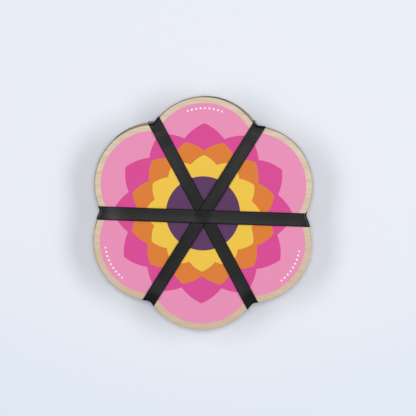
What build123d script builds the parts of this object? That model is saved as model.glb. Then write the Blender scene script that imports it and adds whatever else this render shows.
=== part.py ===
from build123d import *
import math
import os

# A six-lobed flower press: two plywood boards hold a stack of corrugated cards and blotting papers, and three
# elastic loops, lying in the notches between the lobes, pull the boards together.
# Millimetres, +Z up, origin on the table under the middle of the press, two of the lobes along Y.

# Outline shared by the boards and the sheets
lobe_count = 6
lobe_reach = 44.2
lobe_radius = 45.8
notch_round = 5.0

# Boards
board_thickness = 5.0
board_edge_ease = 0.4

# Corrugated cards and blotting papers, cut a little smaller than the boards
sheet_inset = 0.5
card_thickness = 2.6
card_liner = 0.3
flute_pitch = 6.4
flute_wall = 0.3
flute_bond = 0.9
flute_tip_radius = 1.0
blotter_thickness = 0.5
pressing_layers = 4

# The layers lie a little twisted: the lower board clockwise of the straps, the upper one as much the other way
stack_twist_degrees = 1.8
sheet_jitter_degrees = 0.35
sheet_jitter_phase_degrees = 140.0

# Elastic straps
strap_width = 10.0
strap_thickness = 0.9
strap_room = 0.3
inner_strap_slip = 0.0
middle_strap_slip = 1.2
outer_strap_slip = 2.7
lap_length = 15.0
lap_to_notch = 5.0
lap_sunk_share = 0.5

# Thread of the seam on each strap's lap
thread_width = 0.3
stitch_length = 2.2
stitch_pitch = 1.4
stitch_slant_degrees = 25.0
seam_to_lap_end = 2.5

# One overrun for everything that is cut through
overrun = 2.0

strap_names = ("inner", "middle", "outer")
strap_slips = (inner_strap_slip, middle_strap_slip, outer_strap_slip)
half_sector_degrees = 180 / lobe_count
half_twist_degrees = stack_twist_degrees / 2
card_count = pressing_layers + 1
layer_count = 2 + card_count + 2 * pressing_layers

# The notch's arc touches both lobes, whatever the offset, so its centre stays where it is.
lobe_offset_x = lobe_reach * math.cos(math.radians(half_sector_degrees))
lobe_offset_y = lobe_reach * math.sin(math.radians(half_sector_degrees))
notch_centre_reach = lobe_offset_x + math.sqrt((lobe_radius + notch_round) ** 2 - lobe_offset_y**2)
notch_reach = notch_centre_reach - notch_round
tip_reach = lobe_reach + lobe_radius

# Heights from the table up
strap_pile = len(strap_names) * strap_thickness
stack_bottom = strap_pile
sheets_bottom = stack_bottom + board_thickness
sheets_height = card_count * card_thickness + 2 * pressing_layers * blotter_thickness
stack_top = sheets_bottom + sheets_height + board_thickness

# The straps stand off the outline by their room and by what the twisted boards swing towards them.
strap_stand_off = strap_room + lobe_reach * math.sin(math.radians(half_twist_degrees))
half_strap = strap_width / 2
crossing_angle = math.radians(2 * half_sector_degrees)
crossing_shift = max(strap_slips) / math.sin(crossing_angle)
crossing_reach = half_strap / math.sin(crossing_angle) + half_strap / math.tan(crossing_angle) + crossing_shift
lap_reach = notch_reach - lap_to_notch - lap_length / 2
stitches_in_row = int(strap_width / stitch_pitch) - 1


def polar(reach, degrees):
    """A point of the plane at a reach from the middle."""
    return Vector(reach * math.cos(math.radians(degrees)), reach * math.sin(math.radians(degrees)))


def flower_face(offset):
    """The six-lobed outline, grown by an offset: lobe arcs joined by arcs in the notches."""
    radius = lobe_radius + offset
    touch_share = radius / (lobe_radius + notch_round)
    edges = []
    for lobe in range(lobe_count):
        before = 2 * lobe * half_sector_degrees
        middle = before + half_sector_degrees
        after = middle + half_sector_degrees
        lobe_centre = polar(lobe_reach, middle)
        start = lobe_centre + (polar(notch_centre_reach, before) - lobe_centre) * touch_share
        end = lobe_centre + (polar(notch_centre_reach, after) - lobe_centre) * touch_share
        next_centre = polar(lobe_reach, after + half_sector_degrees)
        next_start = next_centre + (polar(notch_centre_reach, after) - next_centre) * touch_share
        edges.append(ThreePointArc(start, polar(tip_reach + offset, middle), end))
        edges.append(ThreePointArc(end, polar(notch_reach + offset, after), next_start))
    return make_face(edges)


def flower_plate(offset, thickness):
    """A plate of the six-lobed outline, standing on the plane."""
    return extrude(flower_face(offset), amount=thickness)


def board():
    """A plywood board with its sharp edges eased."""
    plate = flower_plate(0, board_thickness)
    rims = plate.faces().filter_by(Axis.Z).edges()
    return chamfer(rims, length=board_edge_ease)


def flute_cell(mouth_half, depth):
    """The open section of one flute, under the liner at the top, with a round tip."""
    triangle = make_face(Polyline((-mouth_half, 0), (0, -depth), (mouth_half, 0), close=True))
    return fillet(triangle.vertices().sort_by(Axis.Y)[0], radius=flute_tip_radius)


def corrugated_card():
    """A card of two liners and a fluted sheet between them. Its flutes run along Y and stop short of the notches."""
    flute_height = card_thickness - 2 * card_liner
    mouth_half = (flute_pitch - flute_bond) / 2
    slope = math.atan2(flute_height - flute_wall, mouth_half)
    tip_rise = flute_tip_radius * (1 / math.cos(slope) - 1)
    cell = flute_cell(mouth_half, flute_height - flute_wall + tip_rise)
    flute_reach = notch_reach - sheet_inset - flute_pitch
    flutes_a_side = int(flute_reach / flute_pitch)
    cells = []
    for step in range(-2 * flutes_a_side, 2 * flutes_a_side + 1):
        x = step * flute_pitch / 2
        if step % 2:
            cells.append(Pos(x, card_liner) * Rot(0, 0, 180) * cell)
        else:
            cells.append(Pos(x, card_thickness - card_liner) * cell)
    half_length = tip_reach + overrun
    section = Plane.XZ.offset(-half_length) * Sketch(children=cells)
    return flower_plate(-sheet_inset, card_thickness) - extrude(section, amount=2 * half_length)


def layer_turn(layer):
    """How far a layer of the stack is turned, in degrees, counted from the lower board up."""
    fan = half_twist_degrees * (2 * layer / (layer_count - 1) - 1)
    if layer in (0, layer_count - 1):
        return fan
    return fan + sheet_jitter_degrees * math.sin(math.radians(layer * sheet_jitter_phase_degrees))


def stack():
    """Boards, cards and papers by name, from the table up. Each card's flutes run a sector on from the last one's."""
    plain_board = board()
    card = corrugated_card()
    blotter = flower_plate(-sheet_inset, blotter_thickness)
    layers = [("bottom_board", plain_board, board_thickness, 0)]
    for number in range(1, card_count + 1):
        layers.append((f"card_{number}", card, card_thickness, 2 * number * half_sector_degrees))
        if number <= pressing_layers:
            layers.append((f"blotter_{number}_lower", blotter, blotter_thickness, 0))
            layers.append((f"blotter_{number}_upper", blotter, blotter_thickness, 0))
    layers.append(("top_board", plain_board, board_thickness, 0))
    nodes = {}
    height = stack_bottom
    for layer, (name, solid, thickness, sector_turn) in enumerate(layers):
        nodes[name] = Pos(0, 0, height) * Rot(0, 0, layer_turn(layer) + sector_turn) * solid
        height += thickness
    return nodes


def strap_profile(level, thickness):
    """A strap's side view, filled: level across the crossing straps, then sloping down to the notches.

    With a thickness of zero it is the space inside the loop. The strap has slipped off the middle, towards -Y.
    """
    lift = level * strap_thickness + thickness
    far_reach = tip_reach + overrun
    upper = [
        (-far_reach, stack_top + thickness),
        (-notch_reach, stack_top + thickness),
        (-crossing_reach, stack_top + lift),
        (crossing_reach, stack_top + lift),
        (notch_reach, stack_top + thickness),
        (far_reach, stack_top + thickness),
    ]
    lower = [(x, stack_bottom + stack_top - z) for x, z in reversed(upper)]
    face = Plane.XZ.offset(strap_slips[level] - strap_width / 2) * make_face(Polyline(*upper, *lower, close=True))
    return extrude(face, amount=strap_width)


def lap_plane(level):
    """The plane of the strap's outer face at the lap on its underside, with Z outwards and X along the strap."""
    drop = level * strap_thickness
    run = notch_reach - crossing_reach
    height = stack_bottom - strap_thickness - drop * (notch_reach - lap_reach) / run
    along = Vector(run, 0, drop).normalized()
    across = Vector(0, 1, 0)
    origin = (lap_reach, -strap_slips[level], height)
    return Plane(origin=origin, x_dir=along, z_dir=across.cross(along))


def strap(level):
    """One elastic loop along X, with the ends of the elastic lapped on its underside."""
    height = stack_top + strap_pile
    grown = strap_stand_off + strap_thickness
    outside = strap_profile(level, strap_thickness) & flower_plate(grown, height)
    inside = strap_profile(level, 0) & flower_plate(strap_stand_off, height)
    sunk = strap_thickness * lap_sunk_share
    lap = Box(lap_length, strap_width, strap_thickness + sunk, align=(Align.CENTER, Align.CENTER, Align.MIN))
    return outside - inside + lap_plane(level).offset(-sunk).location * lap


def seam(level):
    """Two zigzag rows of thread across a strap's lap, as separate stitches."""
    plane = lap_plane(level).offset(strap_thickness)
    stitch = Box(stitch_length, thread_width, thread_width, align=(Align.CENTER, Align.CENTER, Align.MIN))
    stitches = []
    row_reach = lap_length / 2 - seam_to_lap_end
    for row in (-row_reach, row_reach):
        for number in range(stitches_in_row):
            across = (number - (stitches_in_row - 1) / 2) * stitch_pitch
            slant = stitch_slant_degrees * (-1) ** number
            stitches.append(plane.location * Pos(row, across) * Rot(0, 0, slant) * stitch)
    return Compound(children=stitches)


def straps():
    """The straps and their seams by name. Each strap lies over the one before it, above and below the stack."""
    nodes = {}
    for level, name in enumerate(strap_names):
        turn = Rot(0, 0, 2 * half_sector_degrees * (len(strap_names) - 1 - level))
        nodes[f"strap_{name}"] = turn * strap(level)
        nodes[f"seam_{name}"] = turn * seam(level)
    return nodes


os.makedirs("parts", exist_ok=True)
for node, shape in {**stack(), **straps()}.items():
    export_step(shape, f"parts/{node}.step")
    print(node, f"{shape.volume:.1f} mm3")
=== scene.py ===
import logging
import math
from dataclasses import dataclass, field
from enum import Enum
from functools import cache, cached_property
from typing import Iterable, Mapping, Sequence

import bpy
from bpy.types import Material, Node, NodeSocket as Socket, NodeTree, Object
from mathutils import Matrix, Vector


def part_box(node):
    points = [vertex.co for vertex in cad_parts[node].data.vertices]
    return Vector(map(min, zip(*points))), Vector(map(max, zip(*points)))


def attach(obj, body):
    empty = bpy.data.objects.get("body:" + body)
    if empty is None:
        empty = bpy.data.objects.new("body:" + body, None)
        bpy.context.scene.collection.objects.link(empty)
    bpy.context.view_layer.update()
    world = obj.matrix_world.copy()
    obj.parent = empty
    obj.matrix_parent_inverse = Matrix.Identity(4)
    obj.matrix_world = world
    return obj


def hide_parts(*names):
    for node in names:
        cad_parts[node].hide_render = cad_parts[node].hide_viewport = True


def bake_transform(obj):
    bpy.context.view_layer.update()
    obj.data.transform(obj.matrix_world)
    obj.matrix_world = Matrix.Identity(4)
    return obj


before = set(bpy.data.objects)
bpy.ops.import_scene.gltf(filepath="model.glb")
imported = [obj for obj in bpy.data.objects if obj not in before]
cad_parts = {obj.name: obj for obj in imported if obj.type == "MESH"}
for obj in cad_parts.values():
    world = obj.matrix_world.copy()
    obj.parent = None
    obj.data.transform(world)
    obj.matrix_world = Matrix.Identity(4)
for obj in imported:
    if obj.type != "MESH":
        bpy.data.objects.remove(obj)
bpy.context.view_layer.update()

# Dresses the flower press: printed and bare plywood boards, corrugated cards, blotting papers and woven
# elastic straps with sewn laps, on a pale floor under soft light. Metres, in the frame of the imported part.

MM = 0.001
TAU = 2 * math.pi
IMAGE_SIDE_PIXELS = 416
WEAVE_MAP = "weave"
POLISH_MAP = "polish"
INK_EDGE = 0.08 * MM
NOISE_SPAN = (0.3, 0.7)

Span = tuple[float, float]
Axes = tuple[float, float, float]
Colour = tuple[float, float, float, float]
Feed = Socket | float | Sequence[float]
Inputs = Mapping[int | str, Feed] | Iterable[tuple[int, Feed]]

log = logging.getLogger("flower_press")


def linear(red: int, green: int, blue: int) -> Colour:
    """Turns screen colour values into the renderer's colour.

    Args:
        red, green, blue: Screen values from 0 to 255.

    Returns:
        The colour with an alpha of one.
    """
    shares = [value / 255 for value in (red, green, blue)]
    bright = [share / 12.92 if share <= 0.04045 else ((share + 0.055) / 1.055) ** 2.4 for share in shares]
    return (bright[0], bright[1], bright[2], 1.0)


def smooth_step(value: float, low: float, high: float) -> float:
    """Rises smoothly from 0 at low to 1 at high."""
    share = min(max((value - low) / (high - low), 0.0), 1.0)
    return share * share * (3 - 2 * share)


def evenly(low: float, high: float, steps: int) -> list[float]:
    """Values from low to high, one more than there are steps."""
    return [low + (high - low) * step / steps for step in range(steps + 1)]


def polar(angle: float, reach: float = 1.0) -> Vector:
    """A point of the plane at an angle and a reach from the middle."""
    return Vector((math.cos(angle), math.sin(angle))) * reach


def raised(points: Iterable[Vector], height: float) -> list[Vector]:
    """Points of the plane, lifted to a height."""
    return [point.to_3d() + Vector((0, 0, height)) for point in points]


@cache
def span(node: str) -> Span:
    """The heights between which a CAD node lies."""
    low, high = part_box(node)
    return low.z, high.z


class Level(Enum):
    """The order in which the straps lie over one another."""

    INNER = 0
    MIDDLE = 1
    OUTER = 2

    @property
    def word(self) -> str:
        """The level's name as the nodes spell it."""
        return self.name.lower()


class BoardFace(Enum):
    """What a board's upper face carries."""

    BARE = "bare"
    PRINTED = "printed"


@dataclass(frozen=True)
class StrapFit:
    """How one strap lies: its slip off the middle, its stretched width, and how dull the crossing left it."""

    slip: float
    width: float
    dull: float


STRAP_FITS = {
    Level.INNER: StrapFit(0.25 * MM, 10.0 * MM, 0.075),
    Level.MIDDLE: StrapFit(0.75 * MM, 10.0 * MM, 0.055),
    Level.OUTER: StrapFit(2.45 * MM, 10.5 * MM, 0.0),
}


@dataclass(frozen=True)
class Outline:
    """The lobed outline that the boards and sheets share.

    The sizes are those of the solids: lobes of one radius round the middle, joined by an arc in each notch.
    """

    lobes: int = 6
    lobe_reach: float = 44.2 * MM
    lobe_radius: float = 45.8 * MM
    notch_round: float = 5.0 * MM
    lobe_steps: int = 64
    notch_steps: int = 10

    @cached_property
    def half_sector(self) -> float:
        """Half the angle from one lobe to the next."""
        return math.pi / self.lobes

    @cached_property
    def lobe_side(self) -> Span:
        """A lobe's centre along and across the notch beside it."""
        return self.lobe_reach * math.cos(self.half_sector), self.lobe_reach * math.sin(self.half_sector)

    @cached_property
    def notch_lean(self) -> float:
        """The angle at the notch arc's centre between the notch's axis and a lobe's centre."""
        return math.asin(self.lobe_side[1] / (self.lobe_radius + self.notch_round))

    @cached_property
    def notch_centre(self) -> float:
        """How far from the middle the notch arc's centre lies."""
        return self.lobe_side[0] + (self.lobe_radius + self.notch_round) * math.cos(self.notch_lean)

    def points(self, offset: float) -> list[Vector]:
        """Walks round the outline.

        Args:
            offset: How far the outline is grown.

        Returns:
            Points in the plane, counter-clockwise.
        """
        swing = self.half_sector + self.notch_lean
        walked = []
        for lobe in range(self.lobes):
            axis = (2 * lobe + 1) * self.half_sector
            centre = polar(axis, self.lobe_reach)
            for angle in evenly(axis - swing, axis + swing, self.lobe_steps)[:-1]:
                walked.append(centre + polar(angle, self.lobe_radius + offset))
            notch = axis + self.half_sector
            centre = polar(notch, self.notch_centre)
            inward = notch + math.pi
            for angle in evenly(inward + self.notch_lean, inward - self.notch_lean, self.notch_steps)[:-1]:
                walked.append(centre + polar(angle, self.notch_round - offset))
        return walked

    def notch_depth(self, across: float, offset: float) -> float:
        """How far from the middle the outline lies beside a notch's axis.

        Args:
            across: Distance from the notch's axis.
            offset: How far the outline is grown.

        Returns:
            The distance along the notch's axis.
        """
        arc = self.notch_round - offset
        if abs(across) < arc * math.sin(self.notch_lean):
            return self.notch_centre - math.sqrt(arc**2 - across**2)
        along, side = self.lobe_side
        return along + math.sqrt((self.lobe_radius + offset) ** 2 - (side - abs(across)) ** 2)

    def chord(self, place: float, offset: float) -> list[Span]:
        """Where a line across the outline, square to a notch's axis, lies inside it.

        Args:
            place: The line's distance from the middle along the notch's axis.
            offset: How far the outline is grown.

        Returns:
            The line's spans: one where it runs from side to side, two beyond the notch.
        """
        radius = self.lobe_radius + offset
        along, side = self.lobe_side
        half = math.sqrt(max(radius**2 - (abs(place) - along) ** 2, 0.0))
        if abs(place) > along and half < side:
            return [(side - half, side + half), (-side - half, half - side)]
        reach = side + half
        if abs(place) < radius:
            reach = max(reach, self.lobe_reach + math.sqrt(radius**2 - place**2))
        return [(-reach, reach)]


@dataclass
class MeshDraft:
    """Points and faces gathered for one piece."""

    points: list[Vector] = field(default_factory=list)
    faces: list[tuple[int, ...]] = field(default_factory=list)
    slots: list[int] = field(default_factory=list)
    places: list[Span] = field(default_factory=list)
    polish: list[float] = field(default_factory=list)

    def add(self, points: Iterable[Vector]) -> list[int]:
        """Adds points.

        Args:
            points: Where they lie.

        Returns:
            Their numbers.
        """
        first = len(self.points)
        self.points.extend(points)
        return list(range(first, len(self.points)))

    def face(self, corners: Sequence[int], slot: int = 0, places: Sequence[Span] = ()) -> None:
        """Adds one face.

        Args:
            corners: Point numbers, counter-clockwise from outside.
            slot: The face's material slot.
            places: The corners' places on the weave map.
        """
        self.faces.append(tuple(corners))
        self.slots.append(slot)
        self.places.extend(places or [(0.0, 0.0)] * len(corners))

    def bridge(self, lower: Sequence[int], upper: Sequence[int], slot: int = 0, closed: bool = True) -> None:
        """Joins two rows of points with a band of faces.

        Args:
            lower: The row that the band starts from, counter-clockwise from outside.
            upper: The row above it.
            slot: The band's material slot.
            closed: Whether the rows close on themselves.
        """
        count = len(lower)
        for here in range(count if closed else count - 1):
            after = (here + 1) % count
            self.face((lower[here], lower[after], upper[after], upper[here]), slot)

    def tube(self, rings: Sequence[list[int]], runs: Sequence[float], sides: Sequence[float]) -> None:
        """Joins rings into a tube, which is capped unless it closes on itself.

        Args:
            rings: The point numbers of each ring.
            runs: Each ring's place along the weave map, and one more where the last ring meets the first.
            sides: Each corner's place across the weave map, and the first corner's again.
        """
        for step in range(len(runs) - 1):
            here, after = rings[step], rings[(step + 1) % len(rings)]
            for side in range(len(here)):
                beside = (side + 1) % len(here)
                corners = (here[side], here[beside], after[beside], after[side])
                spots = ((step, side), (step, side + 1), (step + 1, side + 1), (step + 1, side))
                self.face(corners, 0, [(runs[run], sides[across]) for run, across in spots])
        if len(runs) == len(rings):
            self.face(rings[0][::-1])
            self.face(rings[-1])

    def cap(self, ring: Sequence[int], slot: int = 0, up: bool = True) -> None:
        """Closes a ring with a fan round its middle.

        Args:
            ring: The ring's point numbers, counter-clockwise from above.
            slot: The cap's material slot.
            up: Whether the cap faces up.
        """
        middle = sum((self.points[number] for number in ring), Vector((0, 0, 0))) / len(ring)
        hub = self.add([middle])[0]
        for here, number in enumerate(ring):
            after = ring[(here + 1) % len(ring)]
            self.face((hub, number, after) if up else (hub, after, number), slot)

    def piece(self, name: str, materials: Sequence[Material], sharp_degrees: float = 40) -> Object:
        """Makes the piece's object.

        Args:
            name: The piece's name.
            materials: One material for each slot.
            sharp_degrees: Edges that turn more than this stay sharp.

        Returns:
            The object, linked to the scene.
        """
        mesh = bpy.data.meshes.new(name)
        mesh.from_pydata([tuple(point) for point in self.points], [], self.faces)
        for material in materials:
            mesh.materials.append(material)
        mesh.polygons.foreach_set("material_index", self.slots)
        weave = mesh.uv_layers.new(name=WEAVE_MAP)
        weave.data.foreach_set("uv", [value for place in self.places for value in place])
        if self.polish:
            mesh.attributes.new(POLISH_MAP, "FLOAT", "POINT").data.foreach_set("value", self.polish)
        mesh.shade_smooth()
        mesh.set_sharp_from_angle(angle=math.radians(sharp_degrees))
        mesh.validate()
        made = bpy.data.objects.new(name, mesh)
        bpy.context.scene.collection.objects.link(made)
        return made


class Wiring:
    """Adds and joins the nodes of one shader tree."""

    def __init__(self, tree: NodeTree) -> None:
        """Keeps the tree that the nodes go into."""
        self.tree = tree

    def feed(self, target: Socket, value: Feed) -> None:
        """Gives a socket a link or a plain value.

        Args:
            target: The socket.
            value: Another node's output, or a number or colour.
        """
        if isinstance(value, Socket):
            self.tree.links.new(value, target)
        else:
            target.default_value = value

    def add(self, kind: str, inputs: Inputs = (), **settings: object) -> Node:
        """Adds a node.

        Args:
            kind: The node's type.
            inputs: What its inputs are given, by number or name.
            **settings: The node's own settings.

        Returns:
            The node.
        """
        node = self.tree.nodes.new(kind)
        for name, setting in settings.items():
            setattr(node, name, setting)
        for key, value in dict(inputs).items():
            self.feed(node.inputs[key], value)
        return node

    def math(self, operation: str, *values: Feed) -> Socket:
        """Works out a number by one operation on the values."""
        return self.add("ShaderNodeMath", enumerate(values), operation=operation).outputs[0]

    def times(self, first: Feed, second: Feed) -> Socket:
        """Multiplies two numbers."""
        return self.math("MULTIPLY", first, second)

    def minus(self, first: Feed, second: Feed) -> Socket:
        """Takes the second number from the first."""
        return self.math("SUBTRACT", first, second)

    def over(self, first: Feed, second: Feed) -> Socket:
        """Divides the first number by the second."""
        return self.math("DIVIDE", first, second)

    def total(self, first: Feed, *others: Feed) -> Socket:
        """Adds two or more numbers.

        Args:
            first: The number that the others are added to.
            *others: The other numbers.

        Returns:
            The sum.
        """
        for value in others:
            first = self.math("ADD", first, value)
        return first

    def size(self, value: Feed) -> Socket:
        """A number without its sign."""
        return self.math("ABSOLUTE", value)

    def diagonal(self, first: Socket, second: Socket) -> Socket:
        """The distance that two distances at a right angle make."""
        return self.math("SQRT", self.total(self.times(first, first), self.times(second, second)))

    def fold(self, value: Socket, step: Feed) -> Socket:
        """How far a value lies from the nearest whole step."""
        return self.minus(value, self.times(self.math("ROUND", self.over(value, step)), step))

    def wave(self, turns: Socket) -> Socket:
        """A wave between -1 and 1 that peaks at each whole turn."""
        return self.math("COSINE", self.times(turns, TAU))

    def stray(self, noise: Socket, share: float) -> Socket:
        """Turns a noise into a small shift either way."""
        return self.times(self.minus(noise, 0.5), share)

    def split(self, vector: Socket) -> list[Socket]:
        """The three parts of a vector."""
        return list(self.add("ShaderNodeSeparateXYZ", {0: vector}).outputs)

    def along(self, vector: Socket, direction: Axes) -> Socket:
        """How far a place lies along a direction."""
        values = {0: vector, 1: direction}
        return self.add("ShaderNodeVectorMath", values, operation="DOT_PRODUCT").outputs["Value"]

    def noise(self, vector: Socket, scales: Axes, detail: float = 3.0, roughness: float = 0.55) -> Socket:
        """Reads a cloudy noise.

        Args:
            vector: Where it is read.
            scales: Clouds in a metre along each axis.
            detail: How many finer layers it has.
            roughness: How strong those are.

        Returns:
            The noise, about 0.5 on average.
        """
        drawn = self.add("ShaderNodeVectorMath", {0: vector, 1: scales}, operation="MULTIPLY").outputs[0]
        values = {"Vector": drawn, "Scale": 1.0, "Detail": detail, "Roughness": roughness}
        return self.add("ShaderNodeTexNoise", values).outputs[0]

    def ramp(self, value: Feed, low: float, high: float, start: float = 0.0, end: float = 1.0) -> Socket:
        """Maps a range of values smoothly onto another.

        Args:
            value: What is mapped.
            low: The value that gives the start.
            high: The value that gives the end.
            start: The result at low and before it.
            end: The result at high and past it.

        Returns:
            The mapped value.
        """
        values = enumerate((value, low, high, start, end))
        return self.add("ShaderNodeMapRange", values, interpolation_type="SMOOTHSTEP").outputs[0]

    def inked(self, depth: Feed, margin: float = 0.0) -> Socket:
        """A mask of what lies deeper than a margin, with the soft edge of ink."""
        return self.ramp(depth, margin - INK_EDGE, margin + INK_EDGE)

    def mix(self, share: Feed, first: Feed, second: Feed) -> Socket:
        """Mixes two colours, with a share of the second."""
        return self.add("ShaderNodeMix", {0: share, 6: first, 7: second}, data_type="RGBA").outputs[2]

    def group(self, tree: NodeTree, **inputs: Feed) -> dict[str, Socket]:
        """Places a shared effect and gives its outputs by name."""
        node = self.add("ShaderNodeGroup", inputs, node_tree=tree)
        return {socket.name: socket for socket in node.outputs}

    def place(self) -> Socket:
        """The place on the piece, in its own frame."""
        return self.add("ShaderNodeTexCoord").outputs["Object"]

    def weave_place(self) -> Socket:
        """The place along and across a strap or a thread, on its own map."""
        return self.add("ShaderNodeUVMap", uv_map=WEAVE_MAP).outputs[0]

    def bump(self, height: Socket, relief: float, share: float) -> Socket:
        """Turns heights from 0 to 1 into a normal, for a relief in metres that shows by a share."""
        values = {"Height": height, "Distance": relief, "Strength": share}
        return self.add("ShaderNodeBump", values).outputs["Normal"]


class Effects:
    """Shader node groups that finishes share, each built once."""

    STREAK_SCALES: Axes = (22, 330, 22)
    STREAK_SPAN: Span = (0.32, 0.68)
    FIBRE_SCALES: Axes = (140, 2400, 600)
    MOTTLE_SCALES: Axes = (180, 180, 180)
    MOTTLE_SPAN: Span = (0.35, 0.65)
    PULP_SCALES: Axes = (900, 2600, 2600)
    PULP_ROUGHNESS = 0.65
    FLECK_SCALES: Axes = (900, 420, 900)
    FLECK_SPAN: Span = (0.7, 0.78)

    @staticmethod
    def open(name: str, *numbers: str) -> tuple[Wiring, dict[str, Socket]]:
        """Begins a group that is given a place.

        Args:
            name: The group's name.
            *numbers: The names of the numbers that it is given besides.

        Returns:
            The group's wiring and its inputs by name.
        """
        tree = bpy.data.node_groups.new(name, "ShaderNodeTree")
        tree.interface.new_socket(name="Vector", in_out="INPUT", socket_type="NodeSocketVector")
        for label in numbers:
            tree.interface.new_socket(name=label, in_out="INPUT", socket_type="NodeSocketFloat")
        net = Wiring(tree)
        return net, {socket.name: socket for socket in net.add("NodeGroupInput").outputs if socket.name}

    @staticmethod
    def close(net: Wiring, **outputs: Socket) -> NodeTree:
        """Ends a group.

        Args:
            net: The group's wiring.
            **outputs: The numbers that it puts out, by name.

        Returns:
            The group.
        """
        for label in outputs:
            net.tree.interface.new_socket(name=label, in_out="OUTPUT", socket_type="NodeSocketFloat")
        net.add("NodeGroupOutput", outputs)
        return net.tree

    @staticmethod
    @cache
    def grain() -> NodeTree:
        """Long wood grain along X.

        Returns:
            The group, which puts out broad streaks and fine fibres.
        """
        net, given = Effects.open("wood_grain")
        streaks = net.ramp(net.noise(given["Vector"], Effects.STREAK_SCALES, 4.0), *Effects.STREAK_SPAN)
        fibres = net.ramp(net.noise(given["Vector"], Effects.FIBRE_SCALES, 2.0), *NOISE_SPAN)
        return Effects.close(net, Streaks=streaks, Fibres=fibres)

    @staticmethod
    @cache
    def pulp() -> NodeTree:
        """Paper pulp.

        Returns:
            The group, which puts out soft mottling, short fibres and a few dark flecks.
        """
        net, given = Effects.open("paper_pulp")
        place = given["Vector"]
        mottle = net.ramp(net.noise(place, Effects.MOTTLE_SCALES), *Effects.MOTTLE_SPAN)
        fibres = net.noise(place, Effects.PULP_SCALES, roughness=Effects.PULP_ROUGHNESS)
        flecks = net.ramp(net.noise(place, Effects.FLECK_SCALES, 1.0), *Effects.FLECK_SPAN)
        return Effects.close(net, Mottle=mottle, Fibres=net.ramp(fibres, *NOISE_SPAN), Flecks=flecks)

    @staticmethod
    @cache
    def sector() -> NodeTree:
        """Folds the plane into one of several equal sectors.

        Returns:
            The group, which puts out how far along and across its sector's axis a place lies.
        """
        net, given = Effects.open("folded_sector", "Count", "Turn")
        x, y, _ = net.split(given["Vector"])
        reach = net.diagonal(x, y)
        angle = net.minus(net.math("ARCTAN2", y, x), given["Turn"])
        folded = net.fold(angle, net.over(TAU, given["Count"]))
        along, across = (net.times(reach, net.math(wave, folded)) for wave in ("COSINE", "SINE"))
        return Effects.close(net, Along=along, Across=across)

    @staticmethod
    @cache
    def leaf_ring() -> NodeTree:
        """A ring of pointed petals, each the overlap of two arcs, that meet in the middle.

        Returns:
            The group, which puts out the petals' mask.
        """
        net, given = Effects.open("leaf_ring", "Count", "Turn", "Tip", "Width")
        folded = net.group(Effects.sector(), **{key: given[key] for key in ("Vector", "Count", "Turn")})
        half = net.times(given["Tip"], 0.5)
        girth = net.times(given["Width"], 0.5)
        radius = net.over(net.total(net.times(half, half), net.times(girth, girth)), given["Width"])
        across = net.total(net.size(folded["Across"]), net.minus(radius, girth))
        away = net.diagonal(net.minus(folded["Along"], half), across)
        return Effects.close(net, Mask=net.inked(net.minus(radius, away)))

    @staticmethod
    @cache
    def rim(outline: Outline) -> NodeTree:
        """How far inside the boards' outline a place lies.

        Args:
            outline: The boards' outline.

        Returns:
            The group, which puts out that depth.
        """
        net, given = Effects.open("rim_depth")
        sizes = {"Count": float(outline.lobes), "Turn": outline.half_sector}
        folded = net.group(Effects.sector(), Vector=given["Vector"], **sizes)
        away = net.diagonal(net.minus(folded["Along"], outline.lobe_reach), folded["Across"])
        return Effects.close(net, Depth=net.minus(outline.lobe_radius, away))


@dataclass(frozen=True)
class Finish:
    """A surface finish, made into a material once."""

    name: str

    @cached_property
    def wiring(self) -> Wiring:
        """The wiring of the finish's new material."""
        made = bpy.data.materials.new(self.name)
        made.use_nodes = True
        return Wiring(made.node_tree)

    def material(self) -> Material:
        """The finish's material.

        Returns:
            The one of its name, painted if it is new.
        """
        if self.name not in bpy.data.materials:
            self.paint()
        return bpy.data.materials[self.name]

    def dress(self, values: dict[str, Feed]) -> None:
        """Feeds the material's shader.

        Args:
            values: What each of the shader's sockets is given.
        """
        shader = self.wiring.tree.nodes["Principled BSDF"]
        for socket, value in values.items():
            self.wiring.feed(shader.inputs[socket], value)

    def paint(self) -> None:
        """Paints the material; each finish has its own way."""
        raise NotImplementedError


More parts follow.
